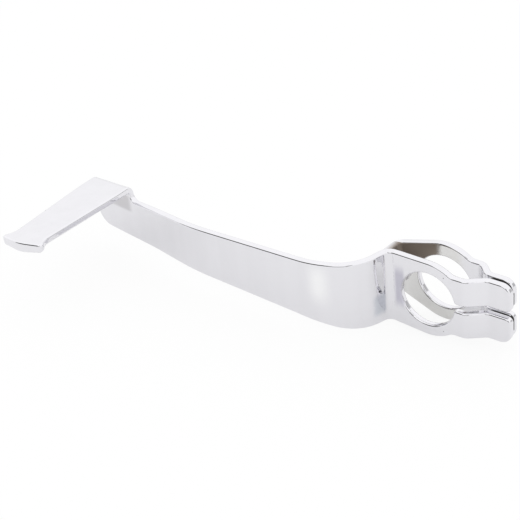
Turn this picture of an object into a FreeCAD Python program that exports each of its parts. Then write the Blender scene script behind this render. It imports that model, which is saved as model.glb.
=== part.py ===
import FreeCAD, Part
import math
import os

# A foot gear shift lever of chromed sheet steel. Two stampings are welded together: the lever strip
# (pedal tab, blade, S-bend and outer clamp plate) and the inner clamp plate behind it.
# Origin: centre of the shaft bore, midway between the plates. X runs along the lever to the clamp's
# tips, Y along the shaft towards the engine, Z up across the strip. Millimetres and degrees.

# Sheet and bore
sheet = 2.5                  # thickness of both stampings
edge_break = 0.4             # broken edges of the blanks
bore_d = 20.0                # shaft bore
clamp_gap = 8.8              # clear width between the clamp plates
tip_gap = 0.5                # clear width between their ears

# Clamp plates
outer_boss_r = 14.2          # round of the outer plate about the bore
inner_boss_r = 15.0          # round of the inner plate about the bore
outer_ear_half = 11.2        # half height of the outer plate's ears past the boss
inner_ear_half = 11.5        # half height of the inner plate's ears
ear_blend = 4.0              # hollow between boss and ear
slit = 2.6                   # width of the split
slit_mouth_r = 2.0           # round at the split's open end
outer_tip = 28.4             # end of the outer plate's ears
inner_tip = 27.9             # end of the inner plate's ears
tip_corner_r = 4.0
joggle_start = 12.5          # where the ears begin to step inwards
outer_joggle_angle = 35.0
inner_joggle_angle = 46.0
joggle_r = 3.5               # bend radius at mid sheet

# Lever strip in plan, from the outer plate out to the pedal; bend radii at mid sheet
wall_start = -12.8           # where the outer plate turns into the S-bend
wall_angle = 72.0
wall_bend_r = 3.75
wall_run = 3.0
shoulder_angle = 58.0
shoulder_r = 13.75
crown_angle = 16.4
crown_r = 43.75
inner_run = 40.5             # straight blade next to the crown
kick_angle = 8.0             # slight bend half way along the blade
kick_r = 100.0
outer_run = 12.0             # straight blade past the kick
settle_angle = 3.0           # slight bend back towards the pedal
settle_r = 100.0
blade_end = -137.0           # X of the blade's free end

# Lever strip in height
strip_rise = 0.8             # centre line of the strip above the bore's centre
neck_x = -14.0
neck_half = 13.7
neck_blend = 60.0
flare_x = -38.0
flare_half = 11.3
flare_blend = 150.0
end_rise = 0.3               # centre line at the blade's free end
end_half = 7.0               # half height there
end_corner_r = 6.5

# Pedal tab, folded off the blade's top edge
tab_width = 19.0             # at the fold
tab_taper = 2.2              # narrowing of each side towards the fishtail
tab_tilt = 5.5               # rise of the fold line towards the clamp, as the top edge rises
tab_reach = 49.2             # from the blade's front face to the fishtail's end
tab_neck = 2.0               # straight height between the blade's top edge and the fold
fold_angle = 88.5            # a little short of square, so the tab rises outwards
fold_r = 2.25                # bend radius at mid sheet
root_fillet = 2.6            # hollow where the tab rises from the top edge
tab_straight = 4.0           # parallel sides next to the fold
tab_blend = 60.0             # from the parallel sides into the taper
tail_flare = 3.0             # widening on each side of the fishtail
tail_length = 5.5
tail_crown = 1.6             # how far the end bulges
tail_crown_r = 20.0
tail_corner_r = 1.4
tail_hollow_r = 6.0
tail_lean = 0.5              # shift of the fishtail towards the clamp
bead_reach = 4.9             # length of the end that is upset into a thicker bead
bead_r = 9.0                 # hollow of its underside
bead_turn = 50.0             # how far that hollow is drawn, past the end

# Inner plate behind the bore
inner_neck_x = -15.5         # end of the flat, where the flange folds forward
inner_neck_half = 10.4
flange_angle = 85.0
flange_bend_r = 3.25
flange_run = 16.8            # carried into the strip, which trims it at the weld

bore_r = bore_d / 2
half = sheet / 2
span = 400.0                 # longer than the part, for prisms right through it
sharp_angle = 45.0           # faces that meet at more than this make a sharp edge
y_axis = FreeCAD.Vector(0, 1, 0)
z_axis = FreeCAD.Vector(0, 0, 1)


def in_plan(x, y):
    return FreeCAD.Vector(x, y, 0)


def in_elevation(x, z):
    return FreeCAD.Vector(x, 0, z)


class Outline:
    """A closed outline of lines and arcs, drawn from (u, v) points on a plane."""

    def __init__(self, start, plane):
        self.start = start
        self.here = start
        self.plane = plane
        self.edges = []

    def line(self, end):
        if math.dist(self.here, end) > 1e-6:
            self.edges.append(Part.LineSegment(self.plane(*self.here), self.plane(*end)).toShape())
        self.here = end

    def arc(self, end, centre):
        u = self.here[0] + end[0] - 2 * centre[0]
        v = self.here[1] + end[1] - 2 * centre[1]
        grow = math.dist(centre, end) / math.hypot(u, v)
        middle = (centre[0] + u * grow, centre[1] + v * grow)
        self.edges.append(Part.Arc(self.plane(*self.here), self.plane(*middle), self.plane(*end)).toShape())
        self.here = end

    def corner(self, vertex, toward, radius):
        """Go to a vertex and round it towards the next point."""
        a = unit(self.here, vertex)
        b = unit(vertex, toward)
        turn = math.atan2(a[0] * b[1] - a[1] * b[0], a[0] * b[0] + a[1] * b[1])
        cut = radius * math.tan(abs(turn) / 2)
        side = math.copysign(radius, turn)
        first = (vertex[0] - a[0] * cut, vertex[1] - a[1] * cut)
        last = (vertex[0] + b[0] * cut, vertex[1] + b[1] * cut)
        self.line(first)
        self.arc(last, (first[0] - a[1] * side, first[1] + a[0] * side))

    def face(self):
        self.line(self.start)
        return Part.Face(Part.Wire(self.edges))


def unit(a, b):
    length = math.dist(a, b)
    return ((b[0] - a[0]) / length, (b[1] - a[1]) / length)


def left_of(point, heading, distance):
    angle = math.radians(heading)
    return (point[0] - distance * math.sin(angle), point[1] + distance * math.cos(angle))


def ahead(point, heading, distance):
    angle = math.radians(heading)
    return (point[0] + distance * math.cos(angle), point[1] + distance * math.sin(angle))


def run(length):
    return (length, 0.0, 0.0)


def bend(angle, radius):
    """A bend to the left, or to the right where the angle is negative."""
    return (0.0, angle, radius)


def mid_line(start, heading, steps):
    """Points, headings and bend centres along the middle of a bent sheet."""
    stations = [(start, heading)]
    centres = []
    for length, angle, radius in steps:
        point, heading = stations[-1]
        if angle:
            side = math.copysign(radius, angle)
            centre = left_of(point, heading, side)
            point = left_of(centre, heading + angle, -side)
        else:
            centre = None
            point = ahead(point, heading, length)
        centres.append(centre)
        stations.append((point, heading + angle))
    return stations, centres


def bent_sheet(stations, centres, plane):
    """The edge-on face of a bent sheet about its mid line."""
    outline = Outline(left_of(*stations[0], half), plane)

    def follow(end, centre):
        if centre:
            outline.arc(end, centre)
        else:
            outline.line(end)

    for station, centre in zip(stations[1:], centres):
        follow(left_of(*station, half), centre)
    outline.line(left_of(*stations[-1], -half))
    for station, centre in zip(stations[-2::-1], centres[::-1]):
        follow(left_of(*station, -half), centre)
    return outline.face()


def through(face, direction):
    """A face drawn out into a prism that passes right through the part, both ways."""
    prism = face.extrude(direction * span)
    prism.translate(direction * (-span / 2))
    return prism


def deburred(solid):
    """Break the sharp edges of a blank, leaving the smooth seams of its bends alone."""
    sharp = []
    for edge in solid.Edges:
        point = edge.valueAt((edge.FirstParameter + edge.LastParameter) / 2)
        faces = solid.ancestorsOfType(edge, Part.Face)
        normals = [face.normalAt(*face.Surface.parameter(point)) for face in faces]
        if math.degrees(normals[0].getAngle(normals[-1])) > sharp_angle:
            sharp.append(edge)
    return solid.makeChamfer(edge_break, sharp)


def tangent_point(point, boss_r, side):
    """Where the line from a point on the left touches the boss, above (+1) or below (-1)."""
    angle = math.atan2(point[1], point[0]) - side * math.acos(boss_r / math.hypot(*point))
    return (boss_r * math.cos(angle), boss_r * math.sin(angle))


def ear_steps(tip, angle, side):
    """The ears' steps from their tips out to the plate, on the outer (-1) or inner (+1) side."""
    drop = (clamp_gap - tip_gap) / 2
    turn = math.radians(angle)
    slope = (drop - 2 * joggle_r * (1 - math.cos(turn))) / math.sin(turn)
    length = 2 * joggle_r * math.sin(turn) + slope * math.cos(turn)
    return [
        run(tip - joggle_start - length),
        bend(-side * angle, joggle_r),
        run(slope),
        bend(side * angle, joggle_r),
    ]


def clamp_end(outline, boss_r, ear_half, tip, lower, upper):
    """Draw the boss and ears from a point on the lower neck edge round to the upper one."""
    blend_z = ear_half + ear_blend
    blend_x = math.sqrt((boss_r + ear_blend) ** 2 - blend_z ** 2)
    boss_share = boss_r / (boss_r + ear_blend)
    outline.line(tangent_point(lower, boss_r, -1))
    outline.arc((blend_x * boss_share, -blend_z * boss_share), (0, 0))
    outline.arc((blend_x, -ear_half), (blend_x, -blend_z))
    outline.corner((tip, -ear_half), (tip, ear_half), tip_corner_r)
    outline.corner((tip, ear_half), (blend_x, ear_half), tip_corner_r)
    outline.line((blend_x, ear_half))
    outline.arc((blend_x * boss_share, blend_z * boss_share), (blend_x, blend_z))
    outline.arc(tangent_point(upper, boss_r, 1), (0, 0))


def clamp_opening(tip):
    """The shaft bore and the split from it to the ears' tips."""
    slot = Outline((0, -slit / 2), in_elevation)
    slot.line((tip - slit_mouth_r, -slit / 2))
    slot.arc((tip, -slit / 2 - slit_mouth_r), (tip - slit_mouth_r, -slit / 2 - slit_mouth_r))
    slot.line((tip + sheet, -slit / 2 - slit_mouth_r))
    slot.line((tip + sheet, slit / 2 + slit_mouth_r))
    slot.line((tip, slit / 2 + slit_mouth_r))
    slot.arc((tip - slit_mouth_r, slit / 2), (tip - slit_mouth_r, slit / 2 + slit_mouth_r))
    slot.line((0, slit / 2))
    bore = Part.makeCylinder(bore_r, span, y_axis * (-span / 2), y_axis)
    return bore.fuse(through(slot.face(), y_axis))


def blade_edge(x, side):
    """Z of the straight blade's top (+1) or bottom (-1) edge, between its flare and its free end."""
    share = (x - flare_x) / (blade_end - flare_x)
    near = strip_rise + side * flare_half
    far = end_rise + side * end_half
    return near + (far - near) * share


# Mid line of the lever strip, with its last run carried past the blade's end
strip_steps = ear_steps(outer_tip, outer_joggle_angle, -1) + [
    run(joggle_start - wall_start),
    bend(wall_angle, wall_bend_r),
    run(wall_run),
    bend(-shoulder_angle, shoulder_r),
    bend(-crown_angle, crown_r),
    run(inner_run),
    bend(-kick_angle, kick_r),
    run(outer_run),
    bend(settle_angle, settle_r),
]
strip_start = (outer_tip, -(tip_gap + sheet) / 2)
settle_point, blade_heading = mid_line(strip_start, 180.0, strip_steps)[0][-1]
blade_slope = math.tan(math.radians(blade_heading))
strip_steps.append(run((blade_end - settle_point[0]) / math.cos(math.radians(blade_heading)) + sheet))


def blade_mid(x):
    """Y of the blade's mid sheet on its run at the pedal."""
    return settle_point[1] + (x - settle_point[0]) * blade_slope


def strip_outline():
    neck = [(neck_x, strip_rise + side * neck_half) for side in (-1, 1)]
    flare = [(flare_x, strip_rise + side * flare_half) for side in (-1, 1)]
    end = [(blade_end, end_rise + side * end_half) for side in (-1, 1)]
    outline = Outline((blade_end, end_rise), in_elevation)
    outline.corner(end[0], flare[0], end_corner_r)
    outline.corner(flare[0], neck[0], flare_blend)
    outline.corner(neck[0], tangent_point(neck[0], outer_boss_r, -1), neck_blend)
    clamp_end(outline, outer_boss_r, outer_ear_half, outer_tip, *neck)
    outline.corner(neck[1], flare[1], neck_blend)
    outline.corner(flare[1], end[1], flare_blend)
    outline.line(end[1])
    return outline


def tab_plan(right, root_y, back_y):
    """The tab seen from above: tapering to a fishtail, left wide at its root."""
    middle = blade_end + tab_width / 2
    tail_y = blade_mid(middle) - half - tab_reach
    flare_xs = (blade_end + tab_taper + tail_lean, right - tab_taper + tail_lean)
    flare = [(x, tail_y + tail_length) for x in flare_xs]
    left_corner = (flare[0][0] - tail_flare, tail_y + tail_crown)
    right_corner = (flare[1][0] + tail_flare, tail_y + tail_crown)
    tail_middle = (middle + tail_lean, tail_y)
    shoulder_y = root_y - tab_straight
    plan = Outline((blade_end, back_y), in_plan)
    plan.corner((blade_end, shoulder_y), flare[0], tab_blend)
    plan.corner(flare[0], left_corner, tail_hollow_r)
    plan.corner(left_corner, tail_middle, tail_corner_r)
    plan.corner(tail_middle, right_corner, tail_crown_r)
    plan.corner(right_corner, flare[1], tail_corner_r)
    plan.corner(flare[1], (right, shoulder_y), tail_hollow_r)
    plan.corner((right, shoulder_y), (right, root_y), tab_blend)
    root_end = right + 1.5 * root_fillet    # just past the hollow, short of the blade's next bend
    plan.line((right, root_y))
    plan.line((root_end, root_y))
    plan.line((root_end, back_y))
    return plan


def pedal_tab():
    """The folded tab: its bent section along the blade, trimmed in plan and at its root."""
    right = blade_end + tab_width
    middle = blade_end + tab_width / 2
    edge_z = blade_edge(middle, 1)
    base = FreeCAD.Vector(middle, blade_mid(middle), 0)
    along = FreeCAD.Vector(*ahead((0, 0), blade_heading, -1), 0)
    front = FreeCAD.Vector(*left_of((0, 0), blade_heading, 1), 0)

    def in_section(w, z):
        return base + front * w + z_axis * z

    steps = [run(sheet + tab_neck), bend(-fold_angle, fold_r), run(tab_reach + tab_width)]
    stations, centres = mid_line((0, edge_z - sheet), 90.0, steps)
    section = bent_sheet(stations, centres, in_section)
    fold_end, heading = stations[2]
    bead_mid = ahead(fold_end, heading, tab_reach + half - fold_r - bead_reach)
    bead_root = left_of(bead_mid, heading, -half)
    bead_centre = left_of(bead_root, heading, -bead_r)
    bead = Outline(bead_mid, in_section)
    bead.line(bead_root)
    bead.arc(left_of(bead_centre, heading - bead_turn, bead_r), bead_centre)
    bead.line(ahead(bead_mid, heading, bead_r))
    outward = in_section(*ahead((0, 0), heading, 1)) - in_section(0, 0)
    across = along - outward * (along.y / outward.y)
    tab = through(section, along).fuse(through(bead.face(), across))
    tab.rotate(base + z_axis * edge_z, front, tab_tilt)

    root_y = blade_mid(right + root_fillet) - fold_r
    back_y = blade_mid(blade_end) + sheet
    tab = tab.common(through(tab_plan(right, root_y, back_y).face(), z_axis))

    far_x = right + 3 * root_fillet
    relief = Outline((right, span), in_elevation)
    relief.corner((right, blade_edge(right, 1)), (far_x, blade_edge(far_x, 1)), root_fillet)
    relief.line((far_x, blade_edge(far_x, 1)))
    relief.line((far_x, span))
    hollow = relief.face().extrude(y_axis * (back_y - root_y))
    hollow.translate(y_axis * root_y)
    return tab.cut(hollow)


def lever_strip():
    sheet_face = bent_sheet(*mid_line(strip_start, 180.0, strip_steps), in_plan)
    strip = through(sheet_face, z_axis).common(through(strip_outline().face(), y_axis))
    strip = strip.cut(clamp_opening(outer_tip))
    return deburred(strip.fuse(pedal_tab()).removeSplitter())


def clamp_plate(strip):
    steps = ear_steps(inner_tip, inner_joggle_angle, 1) + [
        run(joggle_start - inner_neck_x),
        bend(flange_angle, flange_bend_r),
        run(flange_run),
    ]
    start = (inner_tip, (tip_gap + sheet) / 2)
    plate = through(bent_sheet(*mid_line(start, 180.0, steps), in_plan), z_axis)
    flange_reach = 2 * flange_bend_r
    ends = []
    for side in (-1, 1):
        neck = (inner_neck_x, strip_rise + side * inner_neck_half)
        touch = tangent_point(neck, inner_boss_r, side)
        slope = (touch[1] - neck[1]) / (touch[0] - neck[0])
        ends.append((inner_neck_x - flange_reach, neck[1] - slope * flange_reach))
    outline = Outline(ends[0], in_elevation)
    clamp_end(outline, inner_boss_r, inner_ear_half, inner_tip, *ends)
    outline.line(ends[1])
    plate = plate.common(through(outline.face(), y_axis)).cut(clamp_opening(inner_tip))
    return deburred(plate).cut(strip)


os.makedirs("parts", exist_ok=True)
strip_solid = lever_strip()
plate_solid = clamp_plate(strip_solid)
for name, shape in (("lever_strip", strip_solid), ("clamp_plate", plate_solid)):
    print(name, shape.isValid(), len(shape.Solids), round(shape.Volume, 1), shape.BoundBox)
    shape.exportStep("parts/" + name + ".step")
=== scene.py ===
import bpy
import numpy as np
from mathutils import Matrix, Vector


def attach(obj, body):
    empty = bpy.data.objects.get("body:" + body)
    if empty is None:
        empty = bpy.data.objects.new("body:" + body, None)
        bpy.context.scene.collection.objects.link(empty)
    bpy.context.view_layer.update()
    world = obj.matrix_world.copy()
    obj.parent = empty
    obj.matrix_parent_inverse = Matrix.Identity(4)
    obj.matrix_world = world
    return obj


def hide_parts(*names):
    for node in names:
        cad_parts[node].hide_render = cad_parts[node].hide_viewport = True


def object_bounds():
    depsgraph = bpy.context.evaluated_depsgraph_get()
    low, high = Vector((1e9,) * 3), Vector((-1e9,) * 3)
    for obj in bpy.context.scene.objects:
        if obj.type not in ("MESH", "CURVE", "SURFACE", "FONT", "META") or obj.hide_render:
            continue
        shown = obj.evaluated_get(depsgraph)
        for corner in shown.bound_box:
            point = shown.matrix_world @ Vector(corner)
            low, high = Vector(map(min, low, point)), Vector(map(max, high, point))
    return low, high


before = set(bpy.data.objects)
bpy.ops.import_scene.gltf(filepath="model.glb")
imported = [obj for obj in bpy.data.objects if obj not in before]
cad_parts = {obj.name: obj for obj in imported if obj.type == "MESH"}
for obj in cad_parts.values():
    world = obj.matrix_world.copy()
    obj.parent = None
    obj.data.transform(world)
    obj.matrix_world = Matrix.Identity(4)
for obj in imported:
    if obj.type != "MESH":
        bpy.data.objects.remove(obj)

cadBox = [list(corner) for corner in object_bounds()]
mm = 0.001  # the shapes below are worked out in millimetres

# sheet metal, both pieces
sheetMetal = {
    "thickness": 2.5,
    "edgeRound": 0.75,  # left on the blanked edges by polishing
    "edgeSteps": 7,
    "spacing": 0.35,  # between points along an edge
    "bendPoints": 48,  # along each run or bend of a mid line
    "arcPoints": 24,  # along each rounded corner
}
half = sheetMetal["thickness"] / 2
mergeWithin = 0.002

# clamp end, shared by both plates
clampShape = {
    "bore": 10.0,
    "earBlend": 4.0,
    "slitHalf": 1.3,
    "mouthRound": 2.0,
    "tipRound": 4.0,
    "gap": 8.8,
    "tipGap": 0.5,
    "joggleStart": 12.5,
    "joggleRound": 3.5,
    "cornerRound": 1.0,  # where the split opens into the bore
    "ringEnd": -12.0,  # where the flat ring round the bore hands over to the neck
    "earRows": 8,  # strips across the ears and the ring, and across the neck
    "neckRows": 30,
    "earPoints": 90,
    "bossPoints": 60,
    "hollowPoints": 16,
}


def turnTo(a, b):
    # angle from one plane direction to another, left turns positive
    return np.arctan2(a[0] * b[1] - a[1] * b[0], a @ b)


def roundedLine(points, radii):
    # straight sides, each inner corner replaced by the arc of its radius that touches both sides
    points = [np.array(point, float) for point in points]
    stretches = [points[0][None]]
    for before, corner, after, radius in zip(points, points[1:], points[2:], radii):
        a = (corner - before) / np.linalg.norm(corner - before)
        b = (after - corner) / np.linalg.norm(after - corner)
        turn = turnTo(a, b)
        first = corner - a * radius * np.tan(abs(turn) / 2)
        spoke = np.array([a[1], -a[0]]) * np.copysign(radius, turn)
        swing = np.linspace(0, turn, sheetMetal["arcPoints"])
        arm = np.stack([np.cos(swing) * spoke[0] - np.sin(swing) * spoke[1],
                        np.sin(swing) * spoke[0] + np.cos(swing) * spoke[1]], axis=1)
        stretches.append(first - spoke + arm)
    stretches.append(points[-1][None])
    return np.concatenate(stretches)


def alongLine(line, shares):
    # points of a line at shares of its length
    length = np.append(0, np.cumsum(np.linalg.norm(np.diff(line, axis=0), axis=1)))
    places = shares * length[-1]
    return np.stack([np.interp(places, length, line[:, axis]) for axis in range(line.shape[1])], axis=1)


def evenPoints(line, count):
    return alongLine(line, np.linspace(0, 1, count))


def lineLength(line):
    return np.linalg.norm(np.diff(line, axis=0), axis=1).sum()


def pointsFor(line):
    return int(np.ceil(lineLength(line) / sheetMetal["spacing"])) + 1


def bentPath(start, steps):
    # mid line of a bent sheet from above: runs (length, 0, 0) and bends (0, angle, radius) end to end,
    # first towards -X; a bend moves by radius times the change of (sin, -cos) of its heading
    x, y, heading = np.array([start[0]]), np.array([start[1]]), np.array([np.pi])
    share = np.linspace(0, 1, sheetMetal["bendPoints"] + 1)[1:]
    for length, angle, radius in steps:
        side, first = np.copysign(radius, angle), heading[-1]
        turned = first + np.radians(angle) * share
        x = np.append(x, x[-1] + side * (np.sin(turned) - np.sin(first)) + length * share * np.cos(first))
        y = np.append(y, y[-1] - side * (np.cos(turned) - np.cos(first)) + length * share * np.sin(first))
        heading = np.append(heading, turned)
    s = np.append(0, np.cumsum(np.hypot(np.diff(x), np.diff(y))))
    return {"s": s, "x": x, "y": y, "heading": heading}


def onSheet(path, s, z):
    # mid sheet points at arc length s and height z, the unit normals to the left of the path, how much
    # thicker the sheet is on that side and how that leans its face
    x, y, heading = (np.interp(s, path["s"], path[name]) for name in ("x", "y", "heading"))
    points = np.stack([x, y, z + 0 * x], axis=-1)
    normals = np.stack([-np.sin(heading), np.cos(heading), 0 * x], axis=-1)
    return points, normals, 0 * x, 0 * points


def atX(path, x, z):
    return onSheet(path, np.interp(-x, -path["x"], path["s"]), z)


def earSteps(shape, tip, angle, side):
    # the ears step inwards by two equal and opposite bends
    radius, turn = shape["joggleRound"], np.radians(angle)
    drop = (shape["gap"] - shape["tipGap"]) / 2
    slope = (drop - 2 * radius * (1 - np.cos(turn))) / np.sin(turn)
    length = 2 * radius * np.sin(turn) + slope * np.cos(turn)
    return [(tip - shape["joggleStart"] - length, 0, 0), (0, -side * angle, radius), (slope, 0, 0),
            (0, side * angle, radius)]


def touchPoint(point, radius, side):
    # where the line from a point outside touches a circle about the bore
    angle = np.arctan2(point[1], point[0]) - side * np.arccos(radius / np.hypot(*point))
    return radius * np.cos(angle), radius * np.sin(angle)


def bossEdge(shape, bossRadius, earHalf, side, neck, radii):
    # edge of a clamp plate from the ear's root: hollow arc, boss arc, then the neck's rounded line
    blendZ = earHalf + shape["earBlend"]
    blendX = np.sqrt((bossRadius + shape["earBlend"]) ** 2 - blendZ ** 2)
    out = np.arctan2(blendZ, blendX)
    hollow = np.linspace(-np.pi / 2, out - np.pi, shape["hollowPoints"])
    touch = touchPoint((neck[0][0], side * neck[0][1]), bossRadius, 1)
    boss = np.linspace(out, np.arctan2(touch[1], touch[0]), shape["bossPoints"])
    blend = np.stack([blendX + shape["earBlend"] * np.cos(hollow),
                      side * (blendZ + shape["earBlend"] * np.sin(hollow))], axis=1)
    arc = bossRadius * np.stack([np.cos(boss), side * np.sin(boss)], axis=1)
    rest = roundedLine([(touch[0], side * touch[1])] + neck, radii)
    return np.concatenate([blend, arc[1:], rest[1:]])


def splitAtX(line, x):
    # a line that runs towards -X, cut in two at x
    z = np.interp(-x, -line[:, 0], line[:, 1])
    cut = np.array([[x, z]])
    return (np.concatenate([line[line[:, 0] > x + 1e-6], cut]),
            np.concatenate([cut, line[line[:, 0] < x - 1e-6]]))


def heightAt(line, x):
    return np.interp(-x, -line[:, 0], line[:, 1])


def clampSpans(shape, path, tip, earHalf, upperRing, lowerRing):
    # the clamp's stretches of the blank's edge: ears, tips, split and bore; the bore's points face the
    # ring's outer points by an even share of their angles
    names = ("tipRound", "mouthRound", "slitHalf", "cornerRound")
    tipRound, mouth, slit, corner = (shape[name] for name in names)
    edge, bore, root = sheetMetal["edgeRound"], shape["bore"], upperRing[0, 0]
    even = np.linspace(0, 1, shape["earPoints"])
    shares = (even + (1 - np.cos(np.pi * even)) / 2) / 2  # closer together towards both ends
    earLine = roundedLine([(root, earHalf), (tip, earHalf), (tip, 0)], [tipRound])[:-1]
    cornerX = np.sqrt((bore + corner) ** 2 - (slit + corner) ** 2)
    first = np.arctan2(slit + corner, cornerX)
    turn = np.linspace(first - np.pi, -np.pi / 2, sheetMetal["arcPoints"])
    cornerLine = np.stack([cornerX + corner * np.cos(turn),
                           slit + corner + corner * np.sin(turn)], axis=1)
    mouthLine = roundedLine([(cornerX, slit), (tip, slit), (tip, earHalf)], [mouth])[1:-1]
    earX, earZ = alongLine(earLine, shares).T
    slitX, slitZ = alongLine(np.concatenate([cornerLine, mouthLine]), shares).T
    endZ = np.linspace(slitZ[-1], earZ[-1], shape["earRows"] + 1)
    across = np.linspace(upperRing[-1, 1] - edge, lowerRing[-1, 1] + edge, shape["neckRows"] + 1)[1:-1]
    line = np.stack([0 * across + shape["ringEnd"], across], axis=1)
    ring = np.concatenate([upperRing, line, lowerRing[::-1]])
    angle = np.unwrap(np.arctan2(ring[:, 1], ring[:, 0]))
    swing = first + (angle - angle[0]) / (angle[-1] - angle[0]) * (2 * np.pi - 2 * first)
    return {
        "earTop": atX(path, earX[::-1], earZ[::-1]),
        "ringTop": atX(path, upperRing[:, 0], upperRing[:, 1]),
        "ringBottom": atX(path, lowerRing[::-1, 0], lowerRing[::-1, 1]),
        "earBottom": atX(path, earX, -earZ),
        "tipBottom": atX(path, 0 * endZ + tip, -endZ[::-1]),
        "slitBottom": atX(path, slitX[::-1], -slitZ[::-1]),
        "bore": atX(path, bore * np.cos(swing[::-1]), bore * np.sin(swing[::-1])),
        "slitTop": atX(path, slitX, slitZ),
        "tipTop": atX(path, 0 * endZ + tip, endZ),
    }


class Blank:
    # a sheet stamping: its closed edge is a chain of named spans, each from the end of the one before
    def __init__(self, spans, order):
        self.points = np.concatenate([spans[name][0][:-1] for name in order])
        self.normals = np.concatenate([spans[name][1][:-1] for name in order])
        self.thicker = np.concatenate([spans[name][2][:-1] for name in order])
        leaning = self.normals + np.concatenate([spans[name][3][:-1] for name in order])
        self.facing = {1: leaning / np.linalg.norm(leaning, axis=1, keepdims=True), -1: -self.normals}
        ends = np.cumsum([0] + [len(spans[name][0]) - 1 for name in order])
        self.places = {name: np.arange(a, b + 1) % ends[-1] for name, a, b in zip(order, ends, ends[1:])}
        ahead = np.roll(self.points, -1, axis=0) - self.points
        behind = self.points - np.roll(self.points, 1, axis=0)
        near, far = (np.linalg.norm(step, axis=1, keepdims=True) for step in (behind, ahead))
        tangents = ahead / far * near + behind / near * far  # the nearer neighbour counts for more
        outward = np.cross(tangents, self.normals)
        self.outward = outward / np.linalg.norm(outward, axis=1, keepdims=True)
        self.grids = []
        self.addRim()

    def addRim(self):
        # the rounded edge section carried along the whole edge: quarter round, flat, quarter round
        radius = sheetMetal["edgeRound"]
        quarter = np.linspace(0, np.pi / 2, sheetMetal["edgeSteps"] + 1)
        out = radius * (np.sin(quarter) - 1)
        through = half - radius + radius * np.cos(quarter)
        out, onFront = np.append(out, out[::-1]), np.append(0 * out + 1, 0 * out)
        through = np.append(through, -through[::-1]) + self.thicker[:, None] * onFront
        lean = np.append(quarter, np.pi - quarter[::-1])
        grid = (self.points[:, None] + self.outward[:, None] * out[None, :, None]
                + self.normals[:, None] * through[:, :, None])
        facing = (self.outward[:, None] * np.sin(lean)[None, :, None]
                  + self.facing[1][:, None] * np.clip(np.cos(lean), 0, None)[None, :, None]
                  - self.facing[-1][:, None] * np.clip(np.cos(lean), None, 0)[None, :, None])
        self.front, self.back = grid[:, 0], grid[:, -1]
        self.grids.append([np.concatenate([part, part[:1]]) for part in (grid, facing)])

    def rows(self, name, side):
        # a span's row of the rounded edge on the front or back, with the sheet's normals there
        places = self.places[name]
        return (self.front if side > 0 else self.back)[places], self.facing[side][places]

    def addFace(self, a, b, shares, first=None, last=None):
        # ruled face between two curves with as many points; its normals pass from one to the other, and
        # its two end lines may be given
        across = shares[None, :, None]
        face = [a[i][:, None] * (1 - across) + b[i][:, None] * across for i in (0, 1)]
        for place, given in ((0, first), (-1, last)):
            if given is not None:
                face[0][place], face[1][place] = given
        self.grids.append(face)
        return face

    def mesh(self, name):
        # quads of every grid, turned outwards by their normals; points that coincide become one
        faces, start = [], 0
        for grid, facing in self.grids:
            rows, columns = grid.shape[:2]
            index = start + np.arange(rows * columns).reshape(rows, columns)
            quads = np.stack([index[:-1, :-1], index[1:, :-1], index[1:, 1:], index[:-1, 1:]], axis=-1)
            turned = np.cross(grid[1:, 1:] - grid[:-1, :-1], grid[:-1, 1:] - grid[1:, :-1])
            if (turned * facing[:-1, :-1]).sum() < 0:
                quads = quads[..., ::-1]
            faces.append(quads.reshape(-1, 4))
            start += rows * columns
        points, normals = (np.concatenate([part[i].reshape(-1, 3) for part in self.grids])
                           for i in (0, 1))
        cells = np.round(points / mergeWithin)
        _, first, same = np.unique(cells, axis=0, return_index=True, return_inverse=True)
        summed = np.zeros((len(first), 3))
        np.add.at(summed, same.ravel(), normals)
        faces = same.ravel()[np.concatenate(faces)]
        closed = faces == np.roll(faces, -1, axis=1)  # sides of no length turn a quad into a triangle
        quads, slivers = faces[closed.sum(axis=1) == 0], closed.sum(axis=1) == 1
        triangles = faces[slivers][~closed[slivers]].reshape(-1, 3)
        mesh = bpy.data.meshes.new(name)
        mesh.from_pydata(points[first] * mm, [], quads.tolist() + triangles.tolist())
        mesh.validate()
        mesh.shade_smooth()
        summed /= np.linalg.norm(summed, axis=1, keepdims=True)
        mesh.normals_split_custom_set_from_vertices(summed)
        forward = mesh.attributes.new("forward", "FLOAT", "POINT")  # how far a face looks forward
        forward.data.foreach_set("value", np.clip(-summed[:, 1], 0, 1))
        return mesh


def backwards(curve):
    return curve[0][::-1], curve[1][::-1]


def endToEnd(*curves):
    return tuple(np.concatenate([curve[i] for curve in curves]) for i in (0, 1))


def joinedSpans(*spans):
    # stretches of an edge, each starting on the last point of the one before
    kept = [[part[:-1] for part in span] for span in spans[:-1]] + [spans[-1]]
    return tuple(np.concatenate([span[i] for span in kept]) for i in range(4))


def offSheet(curve, side):
    # a mid sheet curve moved out to the front or back face
    return curve[0] + curve[1] * half * side, curve[1] * side


def addClampFaces(blank, shape, side, neck):
    # front or back of the ears and of the ring round the bore, which ends on the neck's first line
    shares = np.linspace(0, 1, shape["earRows"] + 1)
    blank.addFace(blank.rows("earTop", side), backwards(blank.rows("slitTop", side)), shares,
                  first=backwards(blank.rows("tipTop", side)))
    blank.addFace(blank.rows("earBottom", side), backwards(blank.rows("slitBottom", side)), shares,
                  last=blank.rows("tipBottom", side))
    line = neck[0][0, 1:-1], neck[1][0, 1:-1]
    outer = endToEnd(blank.rows("ringTop", side), line, blank.rows("ringBottom", side))
    blank.addFace(outer, backwards(blank.rows("bore", side)), shares)


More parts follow.
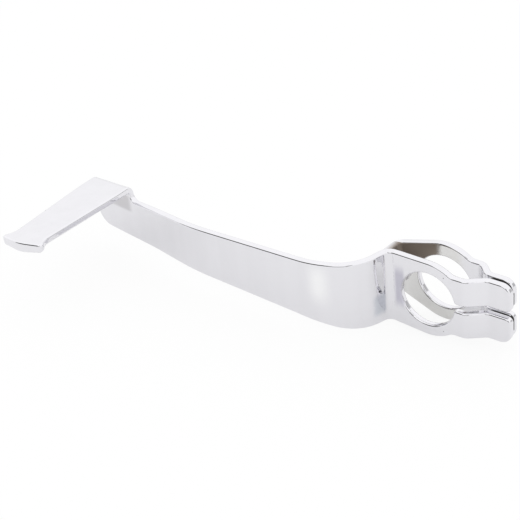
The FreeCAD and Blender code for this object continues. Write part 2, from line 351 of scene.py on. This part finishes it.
# lever strip: outer clamp plate, S-bend, blade and pedal tab
stripShape = {
    "tip": 28.4,
    "boss": 14.2,
    "earHalf": 11.2,
    "joggleAngle": 35.0,
    "bends": [(25.3, 0, 0), (0, 72.0, 3.75), (3.0, 0, 0), (0, -58.0, 13.75), (0, -16.4, 43.75),
              (40.5, 0, 0), (0, -8.0, 100.0), (12.0, 0, 0), (0, 3.0, 100.0)],
    "bladeEnd": -137.0,
    "neck": (-14.0, 0.8, 13.7),  # x, centre height, half height
    "flare": (-38.0, 0.8, 11.3),
    "end": (-137.0, 0.3, 7.0),
    "blends": (60.0, 150.0),
    "endRound": 6.5,
}
tabShape = {
    "width": 19.0,
    "taper": 2.2,
    "tilt": 5.5,
    "reach": 49.2,
    "neck": 2.0,
    "foldAngle": 88.5,
    "foldRound": 2.25,
    "rootFillet": 2.6,
    "straight": 4.0,
    "blend": 60.0,
    "tailFlare": 3.0,
    "tailLength": 5.5,
    "tailCrown": 1.6,
    "tailRounds": (6.0, 1.4, 20.0),  # hollow, corner, crown
    "tailLean": 0.5,  # shift of the fishtail towards the clamp
    "beadReach": 4.9,  # length of the end that is upset into a thicker bead
    "beadRound": 9.0,  # hollow of its underside
    "foldPoints": 14,
    "tailRows": 3,
    "tablePoints": 400,  # of the section's own table
    "pastFold": 10.0,  # how far the sides are drawn before the fold cuts them
    "clearOfFold": 0.05,  # no point of a side comes closer to the fold's end
}


def edgePoint(place, side):
    return place[0], place[1] + side * place[2]


def makeTabMap(shape, bladeEnd, settle, heading, edgeZ):
    # the tab's section: straight neck, fold, flat; carried along the tilted top edge of the blade
    middle = bladeEnd + shape["width"] / 2
    tilt, fold, radius = np.radians(shape["tilt"]), np.radians(shape["foldAngle"]), shape["foldRound"]
    level = np.array([-np.cos(heading), -np.sin(heading), 0])
    front = np.array([-np.sin(heading), np.cos(heading), 0])
    upright = np.array([0, 0, 1.0])
    along = level * np.cos(tilt) + upright * np.sin(tilt)
    up = upright * np.cos(tilt) - level * np.sin(tilt)
    base = np.array([middle, settle[1] + (middle - settle[0]) * np.tan(heading), edgeZ(middle)])
    foldEnd = shape["neck"] + radius * fold
    beadY = base[1] - half - shape["reach"] + shape["beadReach"]
    beadRound = shape["beadRound"]

    def section(u):
        # p forward and q up from the blade's edge, and the angle turned, at arc length u
        angle = np.clip((u - shape["neck"]) / radius, 0, fold)
        over = np.clip(u - foldEnd, 0, None)
        p = radius * (1 - np.cos(angle)) + over * np.sin(angle)
        q = np.minimum(u, shape["neck"]) + radius * np.sin(angle) + over * np.cos(angle)
        return p, q, angle

    def byX(x, u):
        p, q, angle = section(u)
        a = (x - base[0] - front[0] * p - up[0] * q) / along[0]
        points = base + a[:, None] * along + p[:, None] * front + q[:, None] * up
        normals = np.cos(angle)[:, None] * front - np.sin(angle)[:, None] * up
        past = np.clip(beadY - points[:, 1], 0, None)
        deep = np.sqrt(beadRound ** 2 - past ** 2)
        return points, normals, beadRound - deep, (past / deep)[:, None] * np.array([0, 1.0, 0])

    def byPlan(line):
        # the height over the plan that puts a point on the section, found along the section's own table
        u = np.linspace(foldEnd, foldEnd + 2 * shape["reach"], shape["tablePoints"])
        p, q, _ = section(u)
        across = (line - base[:2]) @ front[:2]
        place = np.interp(across, p, u)
        return byX(line[:, 0], place)

    def sectionAt(x, z):
        # arc length up the section of a point of the blade's plane
        q = (z - base[2]) * np.cos(tilt) - (x - base[0]) / level[0] * np.sin(tilt)
        angle = np.arcsin(np.clip((q - shape["neck"]) / radius, 0, 1))
        return np.minimum(q, shape["neck"]) + radius * angle

    return byX, byPlan, sectionAt, foldEnd


def makeLeverStrip():
    shape, tab, radius = stripShape, tabShape, sheetMetal["edgeRound"]
    start = (shape["tip"], -clampShape["tipGap"] / 2 - half)
    steps = earSteps(clampShape, shape["tip"], shape["joggleAngle"], -1) + shape["bends"]
    settled = bentPath(start, steps)
    settle, heading = (settled["x"][-1], settled["y"][-1]), settled["heading"][-1]
    bladeEnd = shape["bladeEnd"]
    path = bentPath(start, steps + [((bladeEnd - settle[0]) / np.cos(heading) + 1, 0, 0)])

    edges = {}
    for side in (1, -1):
        neck = [edgePoint(shape[name], side) for name in ("neck", "flare", "end")]
        radii = list(shape["blends"])
        if side < 0:
            neck.append((bladeEnd, shape["end"][1]))
            radii.append(shape["endRound"])
        edges[side] = bossEdge(clampShape, shape["boss"], shape["earHalf"], side, neck, radii)
    topRing, top = splitAtX(edges[1], clampShape["ringEnd"])
    lowRing, low = splitAtX(edges[-1], clampShape["ringEnd"])
    topRing, lowRing = (evenPoints(line, pointsFor(line)) for line in (topRing, lowRing))
    low = evenPoints(low[:-1], pointsFor(low))

    def edgeZ(x):
        return heightAt(top, x)

    def bladeMid(x):
        return settle[1] + (x - settle[0]) * np.tan(heading)

    # pedal tab's edges
    byX, byPlan, sectionAt, foldEnd = makeTabMap(tab, bladeEnd, settle, heading, edgeZ)
    right = bladeEnd + tab["width"]
    farX = right + 3 * tab["rootFillet"]
    past, clear = tab["pastFold"], tab["clearOfFold"]
    fillet = roundedLine([(right, edgeZ(right) + past), (right, edgeZ(right)), (farX, edgeZ(farX))],
                         [tab["rootFillet"]])[1:-1][::-1]
    rootX, rootU = fillet[0, 0], sectionAt(fillet[:, 0], fillet[:, 1])
    leftFoot = sectionAt(np.array([bladeEnd]), np.array([edgeZ(bladeEnd) - radius]))[0]
    leftU = np.linspace(leftFoot, rootU[-1], len(rootU))
    foldU = np.linspace(rootU[-1], foldEnd, tab["foldPoints"])
    middle = bladeEnd + tab["width"] / 2
    tailY = bladeMid(middle) - half - tab["reach"]
    shoulderY = bladeMid(right + tab["rootFillet"]) - tab["foldRound"] - tab["straight"]
    flareLeft = (bladeEnd + tab["taper"] + tab["tailLean"], tailY + tab["tailLength"])
    flareRight = (right - tab["taper"] + tab["tailLean"], tailY + tab["tailLength"])
    hollow, corner, crown = tab["tailRounds"]
    arc = sheetMetal["arcPoints"]
    plan = roundedLine(
        [(right, shoulderY + past), (right, shoulderY), flareRight,
         (flareRight[0] + tab["tailFlare"], tailY + tab["tailCrown"]), (middle + tab["tailLean"], tailY),
         (flareLeft[0] - tab["tailFlare"], tailY + tab["tailCrown"]), flareLeft,
         (bladeEnd, shoulderY), (bladeEnd, shoulderY + past)],
        [tab["blend"], hollow, corner, crown, corner, hollow, tab["blend"]])
    rightPlan, tailPlan, leftPlan = plan[:1 + 3 * arc], plan[3 * arc:2 + 4 * arc], plan[1 + 4 * arc:]
    foldRight, foldLeft = (byX(np.array([x]), np.array([foldEnd]))[0][0, :2] for x in (right, bladeEnd))
    rightPlan = np.concatenate([foldRight[None], rightPlan[rightPlan[:, 1] < foldRight[1] - clear]])
    leftPlan = np.concatenate([leftPlan[leftPlan[:, 1] < foldLeft[1] - clear], foldLeft[None]])
    count = pointsFor(leftPlan)
    rightPlan, leftPlan = evenPoints(rightPlan, count), evenPoints(leftPlan, count)

    # the blade's columns: over the lower edge's points, and under the tab over that edge's inner line
    spans = clampSpans(clampShape, path, shape["tip"], shape["earHalf"], topRing, lowRing)
    columns = low[:, 0]
    onTop = np.append(columns[columns > rootX + 0.1], rootX)
    rising = np.gradient(low, axis=0)
    inner = columns + radius * rising[:, 1] / np.linalg.norm(rising, axis=1)
    underTab = np.append(inner[len(onTop):-1], bladeEnd + radius)
    acrossTab = (rootX - np.append(rootX, underTab)) / (rootX - underTab[-1])
    spans["bladeTop"] = atX(path, onTop, edgeZ(onTop))
    spans["tabRight"] = joinedSpans(byX(fillet[:, 0], rootU), byX(0 * foldU + right, foldU),
                                    byPlan(rightPlan))
    spans["tail"] = byPlan(alongLine(tailPlan, (acrossTab + np.linspace(0, 1, len(acrossTab))) / 2))
    spans["tabLeft"] = joinedSpans(byPlan(leftPlan), byX(0 * foldU + bladeEnd, foldU[::-1]),
                                   byX(0 * leftU + bladeEnd, leftU[::-1]))
    endZ = np.linspace(edgeZ(bladeEnd) - radius, low[-1, 1], clampShape["neckRows"] + 1)
    spans["bladeEnd"] = atX(path, 0 * endZ + bladeEnd, endZ)
    spans["bladeBottom"] = atX(path, columns[::-1], low[::-1, 1])
    order = ["earTop", "ringTop", "bladeTop", "tabRight", "tail", "tabLeft", "bladeEnd", "bladeBottom",
             "ringBottom", "earBottom", "tipBottom", "slitBottom", "bore", "slitTop", "tipTop"]
    blank = Blank(spans, order)
    tabRoot = atX(path, underTab[:-1], edgeZ(underTab[:-1]) - radius)
    bladeShares, tailShares = (np.linspace(0, 1, rows + 1)
                               for rows in (clampShape["neckRows"], tab["tailRows"]))
    for side in (1, -1):
        bladeTop, bladeEndRow = blank.rows("bladeTop", side), blank.rows("bladeEnd", side)
        upper = endToEnd(bladeTop, offSheet(tabRoot, side), (bladeEndRow[0][:1], bladeEndRow[1][:1]))
        lower = backwards(blank.rows("bladeBottom", side))
        blade = blank.addFace(upper, lower, bladeShares, last=bladeEndRow)
        addClampFaces(blank, clampShape, side, blade)
        rootRow = upper[0][len(onTop) - 1:], upper[1][len(onTop) - 1:]
        tabLeft = backwards(blank.rows("tabLeft", side))
        flat = blank.addFace(blank.rows("tabRight", side), tabLeft, acrossTab, first=rootRow)
        blank.addFace((flat[0][-1], flat[1][-1]), blank.rows("tail", side), tailShares)
    return blank.mesh("leverStrip")


# inner clamp plate: ears, ring and the flange folded forward to the strip
plateShape = {
    "tip": 27.9,
    "boss": 15.0,
    "earHalf": 11.5,
    "joggleAngle": 46.0,
    "neck": (-15.5, 0.8, 10.4),  # x, centre height, half height
    "flangeAngle": 85.0,
    "flangeRound": 3.25,
    "flangeRun": 14.2,
    "endRound": 1.0,
    "flangePoints": 70,
}


def makeClampPlate():
    shape = plateShape
    start = (shape["tip"], clampShape["tipGap"] / 2 + half)
    steps = earSteps(clampShape, shape["tip"], shape["joggleAngle"], 1) + [
        (clampShape["joggleStart"] - shape["neck"][0], 0, 0),
        (0, shape["flangeAngle"], shape["flangeRound"]),
        (shape["flangeRun"], 0, 0),
    ]
    path = bentPath(start, steps)
    reach = 2 * shape["flangeRound"]
    edges = {}
    for side in (1, -1):
        neck = edgePoint(shape["neck"], side)
        touch = touchPoint((neck[0], side * neck[1]), shape["boss"], 1)
        slope = (side * touch[1] - neck[1]) / (touch[0] - neck[0])
        edges[side] = bossEdge(clampShape, shape["boss"], shape["earHalf"], side,
                               [(neck[0] - reach, neck[1] - slope * reach)], [])
    rings, necks = {}, {}
    for side in (1, -1):
        ring, necks[side] = splitAtX(edges[side], clampShape["ringEnd"])
        rings[side] = evenPoints(ring, pointsFor(ring))
    spans = clampSpans(clampShape, path, shape["tip"], shape["earHalf"], rings[1], rings[-1])
    first = np.interp(-clampShape["ringEnd"], -path["x"], path["s"])
    end, corner = path["s"][-1], shape["endRound"]
    s = first + (end - first) * np.sin(np.linspace(0, np.pi / 2, shape["flangePoints"]))
    x = np.interp(s, path["s"], path["x"])
    inset = corner - np.sqrt(corner ** 2 - np.clip(s - end + corner, 0, None) ** 2)
    topZ, lowZ = heightAt(necks[1], x) - inset, heightAt(necks[-1], x) + inset
    spans["flangeTop"] = onSheet(path, s, topZ)
    endZ = np.linspace(topZ[-1], lowZ[-1], clampShape["neckRows"] + 1)
    spans["flangeEnd"] = onSheet(path, 0 * endZ + end, endZ)
    spans["flangeBottom"] = onSheet(path, s[::-1], lowZ[::-1])
    order = ["earTop", "ringTop", "flangeTop", "flangeEnd", "flangeBottom", "ringBottom", "earBottom",
             "tipBottom", "slitBottom", "bore", "slitTop", "tipTop"]
    blank = Blank(spans, order)
    shares = np.linspace(0, 1, clampShape["neckRows"] + 1)
    for side in (1, -1):
        lower = backwards(blank.rows("flangeBottom", side))
        flange = blank.addFace(blank.rows("flangeTop", side), lower, shares,
                               last=blank.rows("flangeEnd", side))
        addClampFaces(blank, clampShape, side, flange)
    return blank.mesh("clampPlate")


# chrome: bright plating with faint polishing streaks and pits; some patches below paint shade, highlights
# and reflections into its colour
plating = {
    "colour": (0.79, 0.785, 0.815, 1),
    "streakScale": (170.0, 170.0, 9.0),  # per metre, drawn out along the height
    "streakLevels": (0.99, 1.008),
    "grainScale": 900.0,
    "roughness": (0.035, 0.08),
    "pitScale": 170.0,
    "pitSize": 0.06,
    "pitShare": 0.12,
    "pitDepth": 0.6,
    "waveScale": 330.0,  # hand polish leaves the surface slightly wavy
    "waveHeight": 0.00004,
    "noiseSpan": (0.3, 0.7),  # the part of the noise that is drawn on
    "forwardFade": (0.1, 0.25),  # how far a face looks forward before forward patches show
}
# parts of the plating that differ, and patches of painted shade, highlight and reflection: box corners
# and fade in millimetres, colour, roughness, metal share
patches = [
    {  # thin plating inside the clamp
        "from": (-20.0, -4.6, -16.0), "to": (9.0, 4.6, 16.0), "fade": (5.0, 0.2, 0.5),
        "colour": (0.735, 0.73, 0.72, 1), "roughness": 0.1, "metal": 1.0,
    },
    {  # bare metal in the pocket between the plates
        "from": (-20.0, -4.6, 1.0), "to": (-0.5, 4.6, 20.0), "fade": (3.0, 0.2, 4.0),
        "colour": (0.26, 0.215, 0.18, 1), "roughness": 0.45, "metal": 0.25,
    },
    {  # painted shade: near black in the narrow gap of the ears
        "from": (19.0, -0.4, -13.0), "to": (30.0, 0.4, 13.0), "fade": (2.0, 0.1, 0.5),
        "colour": (0.03, 0.028, 0.025, 1), "roughness": 0.5, "metal": 0.0,
    },
    # painted shade: near black on the tips' ends beside the gap
    {
        "from": (26.6, -0.7, -7.5), "to": (30.0, 0.8, 7.5), "fade": (0.3, 0.15, 0.5),
        "colour": (0.03, 0.028, 0.025, 1), "roughness": 0.5, "metal": 0.0,
    },
    {  # painted reflection: the plate beside the S-bend painted a darker lilac grey, for the S-bend wall reflected there
        "from": (-12.8, -7.2, -8.0), "to": (-8.0, -6.4, 11.0), "fade": (1.4, 0.2, 5.0),
        "colour": (0.56, 0.55, 0.62, 1), "roughness": 0.08, "metal": 1.0, "forwardOnly": True,
    },
    {  # painted highlight: the S-bend's crown painted brighter
        "from": (-38.0, -45.0, -6.0), "to": (-26.5, -15.0, 15.0), "fade": (5.7, 1.0, 9.0),
        "colour": (0.9, 0.9, 0.91, 1), "roughness": 0.06, "metal": 1.0, "forwardOnly": True,
    },
    {  # painted reflection on its wall and painted shade on the blade under the fold, both greyer
        "from": (-17.2, -16.0, -10.0), "to": (-13.0, -8.0, 0.0), "fade": (1.0, 1.0, 2.5),
        "colour": (0.63, 0.65, 0.7, 1), "roughness": 0.07, "metal": 1.0, "forwardOnly": True,
    },
    # painted shade on the blade under the pedal's fold
    {
        "from": (-133.0, -20.0, 3.2), "to": (-117.0, -8.0, 11.0), "fade": (3.0, 1.0, 1.5),
        "colour": (0.6, 0.59, 0.61, 1), "roughness": 0.07, "metal": 1.0, "forwardOnly": True,
    },
]


def addNode(tree, kind, **settings):
    node = tree.nodes.new("ShaderNode" + kind)
    for name, value in settings.items():
        setattr(node, name, value)
    return node


def mathNode(tree, operation, a, b):
    node = addNode(tree, "Math", operation=operation)
    for place, value in enumerate((a, b)):
        if isinstance(value, float):
            node.inputs[place].default_value = value
        else:
            tree.links.new(value, node.inputs[place])
    return node.outputs[0]


def fadeNode(tree, value, first, last, fromLevel, toLevel):
    node = addNode(tree, "MapRange", interpolation_type="SMOOTHSTEP")
    levels = {"From Min": first, "From Max": last, "To Min": fromLevel, "To Max": toLevel}
    for name, level in levels.items():
        node.inputs[name].default_value = level
    tree.links.new(value, node.inputs["Value"])
    return node.outputs[0]


def blendNode(tree, share, a, b):
    # a where the share is 0 and b where it is 1
    kept = mathNode(tree, "MULTIPLY", a, mathNode(tree, "SUBTRACT", 1.0, share))
    return mathNode(tree, "ADD", kept, mathNode(tree, "MULTIPLY", share, b))


def makePlatingAndPaintedLight(setup, differing):
    # node group: place and forward look in; colour with the patches' painted shade, highlights and
    # reflections, roughness, metal share and wave height out
    # the group named plating also carries the patches' painted shade, highlights and reflections
    group = bpy.data.node_groups.new("plating", "ShaderNodeTree")
    group.interface.new_socket("Place", in_out="INPUT", socket_type="NodeSocketVector")
    group.interface.new_socket("Forward", in_out="INPUT", socket_type="NodeSocketFloat")
    outputs = {"Color": "Color", "Roughness": "Float", "Metallic": "Float", "Height": "Float"}
    for name, kind in outputs.items():
        group.interface.new_socket(name, in_out="OUTPUT", socket_type="NodeSocket" + kind)
    links = group.links
    place = group.nodes.new("NodeGroupInput")
    out = group.nodes.new("NodeGroupOutput")

    stretch = addNode(group, "VectorMath", operation="MULTIPLY")
    stretch.inputs[1].default_value = setup["streakScale"]
    links.new(place.outputs[0], stretch.inputs[0])
    streaks = addNode(group, "TexNoise")
    streaks.inputs["Scale"].default_value = 1.0
    links.new(stretch.outputs[0], streaks.inputs["Vector"])
    streak = fadeNode(group, streaks.outputs["Fac"], *setup["noiseSpan"], *setup["streakLevels"])

    grain = addNode(group, "TexNoise")
    grain.inputs["Scale"].default_value = setup["grainScale"]
    links.new(place.outputs[0], grain.inputs["Vector"])
    rough = fadeNode(group, grain.outputs["Fac"], *setup["noiseSpan"], *setup["roughness"])

    cells = addNode(group, "TexVoronoi")
    cells.inputs["Scale"].default_value = setup["pitScale"]
    links.new(place.outputs[0], cells.inputs["Vector"])
    chance = addNode(group, "SeparateColor")
    links.new(cells.outputs["Color"], chance.inputs[0])
    chosen = mathNode(group, "LESS_THAN", chance.outputs[0], setup["pitShare"])
    near = mathNode(group, "LESS_THAN", cells.outputs["Distance"], setup["pitSize"])
    pitted = mathNode(group, "MULTIPLY", chosen, near)
    clear = mathNode(group, "SUBTRACT", 1.0, mathNode(group, "MULTIPLY", pitted, setup["pitDepth"]))
    shade = addNode(group, "VectorMath", operation="SCALE")
    shade.inputs[0].default_value = setup["colour"][:3]
    links.new(mathNode(group, "MULTIPLY", streak, clear), shade.inputs["Scale"])

    # each patch: inside its box the six fades are 1, and its colour, roughness and metal share take over,
    # painted light among them
    axes = addNode(group, "SeparateXYZ")
    links.new(place.outputs[0], axes.inputs[0])
    colour, metal = shade.outputs[0], 1.0
    looksForward = fadeNode(group, place.outputs["Forward"], *setup["forwardFade"], 0.0, 1.0)
    for patch in differing:
        inside = looksForward if patch.get("forwardOnly") else 1.0
        for axis in range(3):
            low, high, fade = (patch[name][axis] * mm for name in ("from", "to", "fade"))
            rising = fadeNode(group, axes.outputs[axis], low, low + fade, 0.0, 1.0)
            falling = fadeNode(group, axes.outputs[axis], high - fade, high, 1.0, 0.0)
            inside = mathNode(group, "MULTIPLY", inside, mathNode(group, "MULTIPLY", rising, falling))
        blend = addNode(group, "Mix", data_type="RGBA")
        links.new(inside, blend.inputs["Factor"])
        links.new(colour, blend.inputs[6])
        blend.inputs[7].default_value = patch["colour"]
        colour = blend.outputs[2]
        rough = blendNode(group, inside, rough, patch["roughness"])
        metal = blendNode(group, inside, metal, patch["metal"])
    waves = addNode(group, "TexNoise")
    waves.inputs["Scale"].default_value = setup["waveScale"]
    links.new(place.outputs[0], waves.inputs["Vector"])
    results = {"Color": colour, "Roughness": rough, "Metallic": metal, "Height": waves.outputs["Fac"]}
    for name, value in results.items():
        links.new(value, out.inputs[name])
    return group


def makeChrome():
    # the group's colour, painted shade, highlights and reflections included, its roughness and metal
    # share feed the metal, and its waves a bump
    material = bpy.data.materials.new("chrome")
    material.use_nodes = True
    tree = material.node_tree
    metal = tree.nodes["Principled BSDF"]
    platingAndPaintedLight = addNode(tree, "Group", node_tree=makePlatingAndPaintedLight(plating, patches))
    where = addNode(tree, "TexCoord")
    tree.links.new(where.outputs["Object"], platingAndPaintedLight.inputs["Place"])
    forward = addNode(tree, "Attribute", attribute_name="forward")
    tree.links.new(forward.outputs["Fac"], platingAndPaintedLight.inputs["Forward"])
    for output, socket in (("Color", "Base Color"), ("Roughness", "Roughness"), ("Metallic", "Metallic")):
        tree.links.new(platingAndPaintedLight.outputs[output], metal.inputs[socket])
    wavy = addNode(tree, "Bump")
    wavy.inputs["Distance"].default_value = plating["waveHeight"]
    tree.links.new(platingAndPaintedLight.outputs["Height"], wavy.inputs["Height"])
    tree.links.new(wavy.outputs["Normal"], metal.inputs["Normal"])
    return material


chrome = makeChrome()
print("chrome ready")


def place(mesh, node):
    piece = bpy.data.objects.new(mesh.name, mesh)
    bpy.context.scene.collection.objects.link(piece)
    mesh.materials.append(chrome)
    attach(piece, "root")
    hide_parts(node)
    print(mesh.name, len(mesh.polygons), "faces")


place(makeLeverStrip(), "lever_strip")
place(makeClampPlate(), "clamp_plate")

# camera
cameraSetup = {
    "azimuth": 0.681492,  # turn about the vertical, radians
    "elevation": 0.576092,
    "roll": -0.100502,
    "framePixels": 520,
    "focalPixels": 1600.0,
    "sensor": 36.0,  # millimetres
    "clip": (0.01, 20.0),
    "boreCentre": (437.899, 289.049),  # pixel of the bore's centre
    "distance": 0.526493,  # to the plane of the bore's centre
}


def makeCamera(setup):
    a, e, r = setup["azimuth"], setup["elevation"], setup["roll"]
    back = np.array([np.sin(a) * np.cos(e), -np.cos(a) * np.cos(e), np.sin(e)])
    right = np.array([np.cos(a), np.sin(a), 0.0])
    up = np.cross(back, right)
    turned = np.array([
        np.cos(r) * right + np.sin(r) * up,
        -np.sin(r) * right + np.cos(r) * up,
        back,
    ])
    d, f = setup["distance"], setup["focalPixels"]
    px, py = setup["boreCentre"]
    middle = setup["framePixels"] / 2
    spot = np.array([-(px - middle) * d / f, (py - middle) * d / f, d]) @ turned
    data = bpy.data.cameras.new("camera")
    data.sensor_width = setup["sensor"]
    data.lens = f / setup["framePixels"] * setup["sensor"]
    data.clip_start, data.clip_end = setup["clip"]
    camera = bpy.data.objects.new("camera", data)
    matrix = np.eye(4)
    matrix[:3, :3] = turned.T
    matrix[:3, 3] = spot
    camera.matrix_world = Matrix(matrix)
    bpy.context.scene.collection.objects.link(camera)
    bpy.context.scene.camera = camera


makeCamera(cameraSetup)
print("camera placed")

# floor and light
studio = {
    "floorSize": 8.0,
    "floorColour": 0.95,
    "floorGlow": (0.9, 0.45, 0.9),  # share of plain white that the camera, the metal and glass see on it
    "horizon": 0.95,  # light from the horizon and from above
    "zenith": 1.15,
    "riseTo": 0.45,
    "darkEdges": (0.8, 1.2),  # inner and outer edge of a dark opening, in its own sizes
    "openings": [  # direction, size and light left
        ((0.41, -0.72, 0.55), (0.13, 0.2, 0.16), 0.03),
        ((-0.53, -0.75, 0.3), (0.33, 0.4, 0.33), 0.06),
        ((0.0, -0.95, 0.14), (0.6, 0.3, 0.17), 0.06),
        ((0.72, 0.65, 0.2), (0.2, 0.25, 0.22), 0.55),
    ],
}


def makeFloor(setup):
    s, z = setup["floorSize"] / 2, cadBox[0][2]
    mesh = bpy.data.meshes.new("floor")
    mesh.from_pydata([(-s, -s, z), (s, -s, z), (s, s, z), (-s, s, z)], [], [(0, 1, 2, 3)])
    floor = bpy.data.objects.new("floor", mesh)
    bpy.context.scene.collection.objects.link(floor)
    paper = bpy.data.materials.new("paper")
    paper.use_nodes = True
    nodes, links = paper.node_tree.nodes, paper.node_tree.links
    matt = nodes["Principled BSDF"]
    matt.inputs["Base Color"].default_value = (setup["floorColour"],) * 3 + (1,)
    matt.inputs["Roughness"].default_value = 1.0
    matt.inputs["Specular IOR Level"].default_value = 0.0
    rays = nodes.new("ShaderNodeLightPath")
    share = 0.0
    for ray, glow in zip(("Is Camera Ray", "Is Glossy Ray", "Is Transmission Ray"), setup["floorGlow"]):
        share = mathNode(paper.node_tree, "MAXIMUM", share,
                         mathNode(paper.node_tree, "MULTIPLY", rays.outputs[ray], glow))
    white = nodes.new("ShaderNodeEmission")
    blend = nodes.new("ShaderNodeMixShader")
    links.new(share, blend.inputs[0])
    links.new(matt.outputs[0], blend.inputs[1])
    links.new(white.outputs[0], blend.inputs[2])
    links.new(blend.outputs[0], nodes["Material Output"].inputs["Surface"])
    mesh.materials.append(paper)


def makeLight(setup):
    world = bpy.data.worlds.new("lightTent")
    bpy.context.scene.world = world
    world.use_nodes = True
    nodes, links = world.node_tree.nodes, world.node_tree.links
    sky = nodes["Background"]
    sky.inputs["Color"].default_value = (1, 1, 1, 1)
    coord = nodes.new("ShaderNodeTexCoord")
    split = nodes.new("ShaderNodeSeparateXYZ")
    links.new(coord.outputs["Generated"], split.inputs[0])
    rise = nodes.new("ShaderNodeMapRange")
    rise.inputs["From Max"].default_value = setup["riseTo"]
    rise.inputs["To Min"].default_value = setup["horizon"]
    rise.inputs["To Max"].default_value = setup["zenith"]
    links.new(split.outputs["Z"], rise.inputs["Value"])
    level = rise.outputs[0]
    for centre, size, left in setup["openings"]:
        away = addNode(world.node_tree, "VectorMath", operation="SUBTRACT")
        away.inputs[1].default_value = centre
        links.new(coord.outputs["Generated"], away.inputs[0])
        inSizes = addNode(world.node_tree, "VectorMath", operation="DIVIDE")
        inSizes.inputs[1].default_value = size
        links.new(away.outputs[0], inSizes.inputs[0])
        length = addNode(world.node_tree, "VectorMath", operation="LENGTH")
        links.new(inSizes.outputs[0], length.inputs[0])
        seen = fadeNode(world.node_tree, length.outputs["Value"], *setup["darkEdges"], left, 1.0)
        level = mathNode(world.node_tree, "MULTIPLY", level, seen)
    links.new(level, sky.inputs["Strength"])


makeFloor(studio)
makeLight(studio)
print("floor and light ready")

bpy.context.scene.view_settings.view_transform = "Standard"
